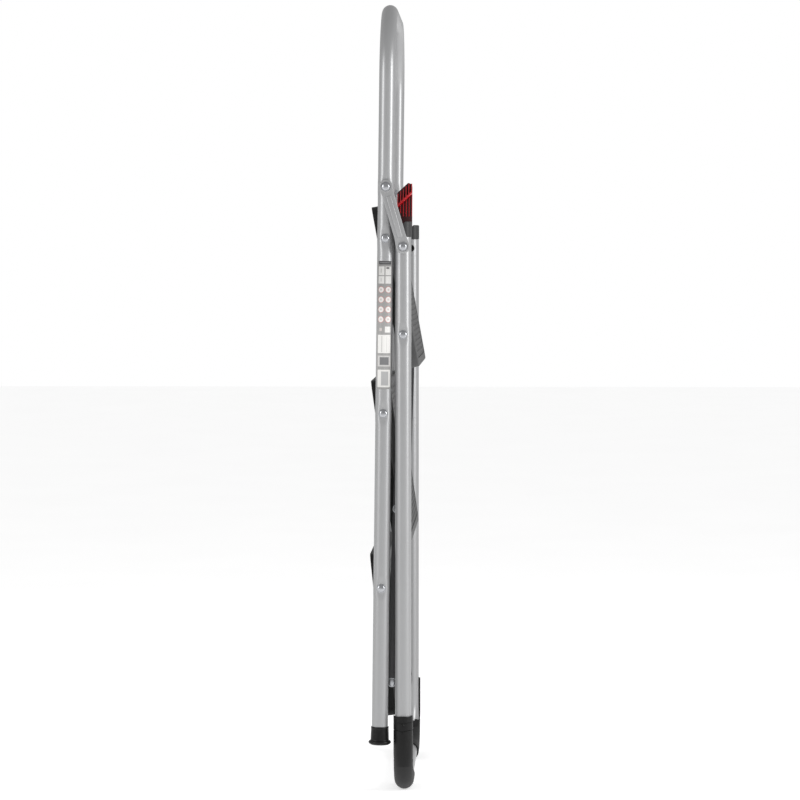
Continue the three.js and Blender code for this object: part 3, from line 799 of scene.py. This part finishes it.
# %% [markdown]
# ## Saddle caps, catch pin and stay bars
# The shape of these parts in the model is right, and only their edges are too sharp. A copy of
# the model's mesh has its loose triangles merged, flat areas joined, and then a narrow bevel
# rounds the edges, which is what makes moulded or pressed parts catch the light.

# %% Softened copies
def softened(node, body, finish, width, sharp=35):
    bm = bmesh.new()
    bm.from_mesh(frame["nodes"][node].data)
    bmesh.ops.remove_doubles(bm, verts=bm.verts, dist=1e-6)
    bmesh.ops.dissolve_limit(
        bm, angle_limit=math.radians(1), verts=bm.verts, edges=bm.edges)
    piece = place_piece(f"{node}_piece", bm, body, finish, [node], sharp=sharp)
    edge = piece.modifiers.new("edge", "BEVEL")
    edge.width = width
    edge.segments = 2
    edge.limit_method = "ANGLE"
    edge.angle_limit = math.radians(40)
    edge.use_clamp_overlap = True
    return piece


for side in SIDES:
    softened(f"saddle_cap_{side}", "rear_frame", cap_grey, 0.4 * MM)
    softened(f"stay_bar_{side}", f"stay_{side}", steel_painted_shade, 0.3 * MM)
softened("catch_pin", "rear_frame", zinc, 0.2 * MM)
print("softened", [piece.name for piece in made[-5:]])

# %% [markdown]
# ## Links
# A link is a flat bar pressed from sheet, with round ends and a raised rib along its middle
# that keeps it stiff. The plate is an outline pulled out to its thickness with bevelled edges.
# The rib is a long block rounded over, so it shows one sharp bright line as the real one does.

# %% Links
link_top = in_side_view(middle("link_upper_rivet_left"))
link_bottom = in_side_view(middle("link_lower_rivet_left"))
link_length = (link_top - link_bottom).length
link_axes = axes(link_top, link_bottom - link_top)
link_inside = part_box("link_left")[0].y
link_thick = 2.5 * MM
shoulder = 14 * MM
rib_start, rib_half, rib_top = 13 * MM, 3.4 * MM, 3.4 * MM
link_end = 9.5 * MM
link_waist = 8 * MM


def link_outline():
    points = []
    for centre, start in ((0, 90), (link_length, 270)):
        for step in range(13):
            turn = math.radians(start + 15 * step)
            points.append((centre + link_end * math.cos(turn), 0, link_end * math.sin(turn)))
        inner = shoulder if centre == 0 else link_length - shoulder
        outer = link_length - inner
        sign = -1 if centre == 0 else 1
        points += [(inner, 0, sign * link_waist), (outer, 0, sign * link_waist)]
    return points


def link_plate():
    plate = extruded(link_outline(), (0, link_thick, 0))
    rims = [edge for edge in plate.edges if edge.calc_face_angle(0) > 1]
    bmesh.ops.bevel(plate, geom=rims, offset=0.6 * MM, segments=3, affect="EDGES",
                    profile=0.5, material=-1)
    rib = block((rib_start, 1.2 * MM, -rib_half), (link_length - rib_start, rib_top, rib_half),
                1.0 * MM, 3)
    absorb(plate, rib)
    for centre in (0, link_length):
        ring = turned([(0, 0), (7.9 * MM, 0), (7.9 * MM, 0.25 * MM), (7.2 * MM, 0.5 * MM),
                       (6.7 * MM, 0.5 * MM), (6.3 * MM, 0.1 * MM), (0, 0.1 * MM)], 32)
        bmesh.ops.rotate(ring, cent=(0, 0, 0), matrix=Matrix.Rotation(-math.pi / 2, 3, "X"),
                         verts=ring.verts)
        bmesh.ops.translate(ring, verts=ring.verts, vec=(centre, 2.45 * MM, 0))
        absorb(plate, ring)
    bmesh.ops.translate(plate, verts=plate.verts, vec=(0, link_inside, 0))
    return plate


mirrored_pair(link_plate, "link", "link_{side}", silver, place=link_axes)

# %% [markdown]
# ## The red catch
# This hook locks the open ladder: the front tube snaps in under it. It is a thin moulded plate
# with a sloping ramp above the hook's mouth. Both are stiffened with upright ribs, and the
# ribs with the slots between them are what one sees from outside. Each rib is an outline
# pulled out across its thickness. The piece is drawn upright and then leaned in, as it rests.
# The slots are too narrow for light to reach in, so the plate between the ribs is painted a dark red as painted
# shade.

# %% Catch sizes
catch_origin = pivot("catch_pivot")
catch_lean = math.radians(joints["catch_pivot"]["range_deg"][1])
catch_front, catch_rear = -8.75 * MM, 11.75 * MM
catch_low, catch_top = 5.6 * MM, 66.4 * MM
plate_face, plate_back = -3.1 * MM, -0.1 * MM
slope = math.radians(45.9)
slot_floor = plate_face - 0.45 * MM
catch_place = Matrix.Translation(catch_origin) @ Matrix.Rotation(-catch_lean, 4, "X")
print("catch leans", round(math.degrees(catch_lean), 1), "degrees")


# %% Red plastic
def red_plastic():
    red = Finish("red_catch_plastic", Coat_Roughness=0.1)
    inverse = catch_place.inverted()
    here = red.coordinates(
        turn=tuple(inverse.to_euler()), shift=tuple(inverse.translation))
    grain = red.noise(here, 700, 2.0)
    cloud = red.noise(here, 90, 3.0)
    depth = red.node("ShaderNodeSeparateXYZ", values={0: here}, output=1)
    # Painted shade: the plate face deep in the slots between the ribs is painted dark red, rougher and with no
    # coat.
    slot_shade = ((depth - slot_floor) * 4000).clamp() * ((plate_back - 0.4 * MM - depth) * 4000).clamp()
    tone = red.mix(cloud, (0.34, 0.004, 0.008, 1), (0.50, 0.008, 0.014, 1))
    tone = red.mix(slot_shade, tone, (0.035, 0.001, 0.002, 1))
    red.set(Base_Color=tone, Roughness=0.2 + 0.1 * grain + 0.5 * slot_shade)
    red.set(Coat_Weight=0.25 * (1 - slot_shade))
    red.bump(grain, 0.12, 0.0002)
    return red.material


red = red_plastic()

# %% Catch plate
hook_mouth, ramp_top, hook_reach = 13.2 * MM, 29.2 * MM, 8.6 * MM
catch_deep = plate_face - hook_reach
catch_width = catch_rear - catch_front
rib_count = 6


def edge_height(x, offset):
    """Height at x of a line along the open front tube, at an offset above its middle."""
    tube_middle = 20.4 * MM
    return tube_middle + (offset + x * math.cos(slope)) / math.sin(slope)


def catch_plate():
    tip, notch = 6 * MM, 6.4 * MM
    outline = [(catch_front + notch, catch_low + 7 * MM), (catch_front + notch, catch_low),
               (catch_rear, catch_low), (catch_rear, catch_top - tip)]
    for step in range(1, 7):
        turn = math.radians(15 * step)
        outline.append((catch_rear - tip + tip * math.cos(turn),
                        catch_top - tip + tip * math.sin(turn)))
    outline += [(catch_front, edge_height(catch_front, ramp_top)),
                (catch_front, edge_height(catch_front, hook_mouth) + 2 * MM)]
    bm = extruded([(x, plate_face, z) for x, z in outline], (0, plate_back - plate_face, 0))
    rims = [edge for edge in bm.edges if edge.calc_face_angle(0) > 1]
    bmesh.ops.bevel(bm, geom=rims, offset=0.5 * MM, segments=2, affect="EDGES",
                    profile=0.5, material=-1)
    return bm


# %% Catch hook, ribs and heel
def catch_hook():
    """The ledge that comes to stand over the tube."""
    root = plate_face + 0.5 * MM
    profile = [(root, hook_mouth), (catch_deep, hook_mouth),
               (catch_deep, hook_mouth + 2.4 * MM), (root, hook_mouth + 3.6 * MM)]
    points = [(catch_front, depth, edge_height(catch_front, offset))
              for depth, offset in profile]
    hook = extruded(points, (catch_width, 0, catch_width / math.tan(slope)))
    bmesh.ops.bevel(hook, geom=hook.edges, offset=0.35 * MM, segments=2, affect="EDGES",
                    profile=0.5, material=-1)
    return hook


def ramp_fin(number):
    thick, side, root = 1.4 * MM, 0.3 * MM, plate_face + 0.4 * MM
    x = catch_front + side + number * (catch_width - 2 * side - thick) / (rib_count - 1)
    low = edge_height(x, hook_mouth + 2 * MM)
    high = min(edge_height(x, ramp_top - 1.6 * MM), catch_top - 1.5 * MM)
    tip = catch_deep - 0.3 * MM
    fin = [(x, root, low), (x, tip, low), (x, tip, low + 1 * MM),
           (x, plate_face - 1.3 * MM, high), (x, root, high)]
    return extruded(fin, (thick, 0, 0))


def plate_rib(number):
    """The two front ribs start higher, over the notch in the plate."""
    thick, proud = 1.1 * MM, 0.75 * MM
    x = catch_front + number * (catch_width - thick) / (rib_count - 1)
    foot = catch_low + (13.5 if number > 1 else 18) * MM
    return block((x, plate_face - proud, foot),
                 (x + thick, plate_face + 0.3 * MM, edge_height(x, hook_mouth)),
                 0.25 * MM, 2)


def catch_heel():
    half, radius = 7.3 * MM, 3.05 * MM
    heel = turned([(0, -half), (radius, -half), (radius, half), (0, half)], 24)
    bmesh.ops.rotate(heel, cent=(0, 0, 0), matrix=Matrix.Rotation(math.pi / 2, 3, "Y"),
                     verts=heel.verts)
    return absorb(
        block((-half, plate_face, 1 * MM), (half, 3.1 * MM, 7.2 * MM), 0.4 * MM), heel)


def catch_body():
    ribs = [ramp_fin(number) for number in range(rib_count)]
    ribs += [plate_rib(number) for number in range(rib_count)]
    return absorb(catch_plate(), catch_hook(), *ribs, catch_heel())


place_piece("catch_piece", catch_body(), "lock_catch", red, ["lock_catch"],
            catch_place, sharp=30)

# %% [markdown]
# ## Treads
# A tread is an upside-down tray: a top plate, a skirt round it, and ribs underneath. It is made
# from one box. Bevelled upright edges give the plan corners, an inset pressed down gives the
# recess for the mat, and a second inset from below gives the hollow. Ribs and pivot bosses are
# laid in after that.

# %% Tread shells
TREAD_TOP, TREAD_BOTTOM = 13.5 * MM, -12 * MM
FRONT_OVERHANG, REAR_OVERHANG = 45 * MM, 47 * MM
MAT_MARGIN = 11.3 * MM
RIB_WIDE, RIB_FOOT, RIB_TOP = 2.2 * MM, TREAD_BOTTOM + 0.4 * MM, 9.2 * MM


def pressed_in(bm, up, margin, depth):
    """Presses the flat top or bottom face in, keeping a margin."""
    face = max(bm.faces, key=lambda item: item.normal.z * up * 1000 + item.calc_area())
    bmesh.ops.inset_region(bm, faces=[face], thickness=margin, use_even_offset=True)
    bmesh.ops.inset_region(bm, faces=[face], thickness=0.25 * MM, depth=0,
                           use_even_offset=True)
    bmesh.ops.translate(bm, verts=face.verts, vec=(0, 0, -up * depth))


def tread_shell(name):
    front, rear = tread_pivots[name]
    reach = (rear - front).length
    low_x, high_x = -FRONT_OVERHANG, reach + REAR_OVERHANG
    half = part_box(f"{name}_mat")[1].y + MAT_MARGIN
    bm = block((low_x, -half, TREAD_BOTTOM), (high_x, half, TREAD_TOP))
    upright = [edge for edge in bm.edges
               if abs(edge.verts[0].co.z - edge.verts[1].co.z) > 20 * MM]
    bmesh.ops.bevel(bm, geom=upright, offset=14 * MM, segments=8, affect="EDGES",
                    profile=0.5, material=-1)
    rims = [edge for edge in bm.edges
            if all(vert.co.z > TREAD_TOP - 1e-5 for vert in edge.verts)]
    bmesh.ops.bevel(bm, geom=rims, offset=2.2 * MM, segments=4, affect="EDGES",
                    profile=0.5, material=-1)
    pressed_in(bm, 1, 8.6 * MM, 2.3 * MM)
    pressed_in(bm, -1, 2.4 * MM, 20.6 * MM)
    wall = (low_x + 2 * MM, high_x - 2 * MM)
    for row in (1, 2):
        x = low_x + (high_x - low_x) * row / 3
        absorb(bm, block((x, -half + 2 * MM, RIB_FOOT),
                         (x + RIB_WIDE, half - 2 * MM, RIB_TOP), 0.3 * MM))
    for column in (1, 2, 3):
        y = half * (column / 2 - 1) - RIB_WIDE / 2
        absorb(bm, block((wall[0], y, RIB_FOOT), (wall[1], y + RIB_WIDE, RIB_TOP), 0.3 * MM))
    for x, out in ((0, leg_y - tube_radius - 0.3 * MM), (reach, 193.2 * MM)):
        for sign in (1, -1):
            boss = turned([(0, half - 3 * MM), (9 * MM, half - 3 * MM), (9 * MM, out - 0.6 * MM),
                           (8.4 * MM, out), (0, out)], 32)
            bmesh.ops.rotate(boss, cent=(0, 0, 0), verts=boss.verts,
                             matrix=Matrix.Rotation(-sign * math.pi / 2, 3, "X"))
            bmesh.ops.translate(boss, verts=boss.verts, vec=(x, 0, 0))
            absorb(bm, boss)
    return bm


# %% [markdown]
# ## Anti-slip mats
# A mat is a rubber sheet with low ridges that run across the tread, square to the way a foot
# slides. Each ridge is one narrow block with a bevelled top, because a printed pattern would
# show no shadow when the tread is seen edge-on.

# %% Mats
def tread_mat(name):
    front, rear = tread_pivots[name]
    reach = (rear - front).length
    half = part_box(f"{name}_mat")[1].y
    low_x, high_x = MAT_MARGIN - FRONT_OVERHANG, reach + REAR_OVERHANG - MAT_MARGIN
    base = TREAD_TOP - 2 * MM
    bm = block((low_x, -half, base), (high_x, half, base + 1.1 * MM))
    upright = [edge for edge in bm.edges
               if abs(edge.verts[0].co.x - edge.verts[1].co.x) < 1e-6
               and abs(edge.verts[0].co.y - edge.verts[1].co.y) < 1e-6]
    bmesh.ops.bevel(bm, geom=upright, offset=2.5 * MM, segments=4, affect="EDGES",
                    profile=0.5, material=-1)
    count = 28
    pitch = (high_x - low_x - 6 * MM) / count
    for number in range(count):
        x = low_x + 3 * MM + pitch * (number + 0.18)
        absorb(bm, block((x, -half + 3 * MM, base + 0.9 * MM),
                         (x + pitch * 0.64, half - 3 * MM, base + 1.7 * MM), 0.3 * MM, 1))
    return bm


for name in tread_pivots:
    front, rear = tread_pivots[name]
    place = axes(front, rear - front)
    place_piece(f"{name}_body", tread_shell(name), name, tread_plastic(name),
                [f"{name}_shell"], place, sharp=30)
    place_piece(f"{name}_grip", tread_mat(name), name, mat_rubber(name),
                [f"{name}_mat"], place, sharp=30)
    print(name, len(made[-2].data.polygons), "and", len(made[-1].data.polygons), "faces")

# %% [markdown]
# ## Rivet tails behind the link pivots
# On the inner side of each rear leg, the link's pivot ends in a rolled tail with a hollow. Its black plastic is
# painted shade, for the dark spot beside the link's lower pivot.

# %% Rivet tails
def pivot_tail():
    bm = turned([(0, 0.5 * MM), (1.8 * MM, 0.5 * MM), (2.4 * MM, 1.5 * MM), (3.4 * MM, 2 * MM),
                 (4.6 * MM, 1.5 * MM), (5.0 * MM, 0.3 * MM), (5.0 * MM, 0), (0, 0)], 28)
    bmesh.ops.rotate(bm, cent=(0, 0, 0), verts=bm.verts,
                     matrix=Matrix.Rotation(math.pi / 2, 3, "X"))
    inner = leg_y - tube_radius + 0.4 * MM
    bmesh.ops.translate(bm, verts=bm.verts, vec=(0, inner, link_bottom.z))
    return bm


# Painted shade: the rivet tails get the black plastic, so they show as a dark spot on the inner side of the leg.
mirrored_pair(pivot_tail, "link_rivet_tail", "rear_frame", black,
              replaces=False, place=rear_axes)

# %% [markdown]
# ## The label
# A thin printed sheet lies round the outside of the right front leg. Its print is only plain
# fields and discs, with no lettering and no signs. The sheet is a line spun part of the way
# round the tube, so its UV map is simply the angle and the height, in millimetres.

# %% Label sheet
LABEL_TOP, LABEL_TALL = -30.5 * MM, 173 * MM
LABEL_FROM, LABEL_TO = -62, 58


def label_sheet():
    bm = bmesh.new()
    radius = tube_radius + 0.05 * MM
    start = math.radians(LABEL_FROM)
    x, y = radius * math.sin(start), -leg_y - radius * math.cos(start)
    line = [bm.verts.new((x, y, LABEL_TOP)), bm.verts.new((x, y, LABEL_TOP - LABEL_TALL))]
    edge = bm.edges.new(line)
    bmesh.ops.spin(
        bm, geom=line + [edge], cent=(0, -leg_y, 0), axis=(0, 0, 1), dvec=(0, 0, 0),
        angle=math.radians(LABEL_TO - LABEL_FROM), steps=26, use_merge=False)
    print_map = bm.loops.layers.uv.new("print")
    for face in bm.faces:
        for loop in face.loops:
            point = loop.vert.co
            around = math.atan2(point.x, -leg_y - point.y)
            loop[print_map].uv = (around * tube_radius / MM, (LABEL_TOP - point.z) / MM)
    bmesh.ops.recalc_face_normals(bm, faces=bm.faces)
    outward = bm.faces[0].normal.dot(bm.faces[0].calc_center_median() - Vector((0, -leg_y, 0)))
    if outward < 0:
        bmesh.ops.reverse_faces(bm, faces=bm.faces)
    return bm


# %% Label print
def label_print():
    sheet = Finish("label_print")
    uv = sheet.node("ShaderNodeUVMap", {"uv_map": "print"})
    across = sheet.node("ShaderNodeSeparateXYZ", values={0: uv}, output=0)
    down = sheet.node("ShaderNodeSeparateXYZ", values={0: uv}, output=1)

    def field(x, y, half_x, half_y, soft=0.35):
        in_x = ((half_x - (across - x).size()) / soft).clamp()
        in_y = ((half_y - (down - y).size()) / soft).clamp()
        return in_x * in_y

    def discs(radius, soft=0.4):
        column = (across - 0.2).size() - 5.2
        row = (down - 32.2).wrap(13.3) - 6.65
        away = (column * column + row * row).power(0.5)
        rows = ((26.4 - (down - 58.8).size()) / soft).clamp()
        return ((radius - away) / soft).clamp() * rows

    here = sheet.coordinates()
    fibre = sheet.noise(here, 900, 2.0)
    tone = sheet.mix(fibre, (0.27, 0.265, 0.26, 1), (0.34, 0.335, 0.33, 1))
    pale = (0.72, 0.71, 0.69, 1)
    dark = (0.03, 0.03, 0.035, 1)
    tone = sheet.mix(field(0, 2.6, 9.0, 2.3), tone, (0.06, 0.06, 0.065, 1))
    tone = sheet.mix(field(0, 2.6, 7.4, 0.7), tone, (0.30, 0.30, 0.30, 1))
    for x, half_x in ((-5.0, 4.6), (5.2, 4.4)):
        tone = sheet.mix(field(x, 13.4, half_x, 6.1), tone, pale)
        tone = sheet.mix(field(x, 25.6, half_x, 5.2), tone, pale)
    tone = sheet.mix(field(-5.0, 13.4, 1.0, 3.6, 1.2) * 0.6, tone, dark)
    tone = sheet.mix(field(-5.0, 25.6, 0.9, 2.8, 1.2) * 0.6, tone, dark)
    tone = sheet.mix(field(4.2, 9.6, 2.6, 1.7, 0.8) * 0.8, tone, dark)
    tone = sheet.mix(discs(4.7), tone, (0.50, 0.20, 0.18, 1))
    tone = sheet.mix(discs(4.05), tone, pale)
    tone = sheet.mix(discs(2.0, 1.4) * 0.45, tone, (0.25, 0.12, 0.11, 1))
    tone = sheet.mix(field(5.0, 92.5, 4.2, 4.2), tone, pale)
    tone = sheet.mix(field(-5.0, 92.5, 2.4, 2.4, 1.0), tone, (0.55, 0.5, 0.48, 1))
    tone = sheet.mix(field(0, 112, 9.6, 12.5), tone, pale)
    tone = sheet.mix(field(-3.0, 112, 0.5, 11.0) * 0.6, tone, dark)
    tone = sheet.mix(field(3.6, 112, 0.35, 11.0) * 0.4, tone, dark)
    tone = sheet.mix(field(0, 135, 9.6, 7.5), tone, (0.52, 0.51, 0.5, 1))
    tone = sheet.mix(field(0.5, 135, 6.6, 5.4), tone, (0.16, 0.16, 0.165, 1))
    tone = sheet.mix(field(0, 158.5, 9.6, 12.0), tone, pale)
    tone = sheet.mix(field(1.5, 158.5, 5.2, 9.6), tone, (0.4, 0.4, 0.4, 1))
    sheet.set(Base_Color=tone, Roughness=0.38 + 0.1 * fibre)
    sheet.bump(fibre, 0.05, 0.0001)
    return sheet.material


label = place_piece("leg_label", label_sheet(), "front_frame", label_print(),
                    place=front_axes, sharp=60)
thickness = label.modifiers.new("thickness", "SOLIDIFY")
thickness.thickness = 0.08 * MM
thickness.offset = -1
print("label", LABEL_TALL / MM, "mm tall")

# %% [markdown]
# ## Floor
# A wide pale floor, with a very faint mottle so that it is not one flat colour.

# %% Floor
def floor_paint():
    paint = Finish("pale_floor")
    here = paint.coordinates()
    cloud = paint.noise(here, 3, 3.0)
    tone = paint.mix(cloud, (0.93, 0.93, 0.93, 1), (0.97, 0.97, 0.97, 1))
    paint.set(Emission_Strength=0.5, Emission_Color=tone)
    return paint.set(Base_Color=tone, Roughness=0.8 + 0.1 * cloud).material


ground = bmesh.new()
bmesh.ops.create_grid(ground, x_segments=1, y_segments=1, size=15)
floor_mesh = bpy.data.meshes.new("floor")
ground.to_mesh(floor_mesh)
ground.free()
floor = bpy.data.objects.new("floor", floor_mesh)
floor_mesh.materials.append(floor_paint())
scene.collection.objects.link(floor)
floor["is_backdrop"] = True

visual_box = [list(corner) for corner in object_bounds()]
for name, box in (("cad", cad_box), ("visual", visual_box)):
    print(name, [[round(value, 4) for value in corner] for corner in box])
print(len(made), "pieces")
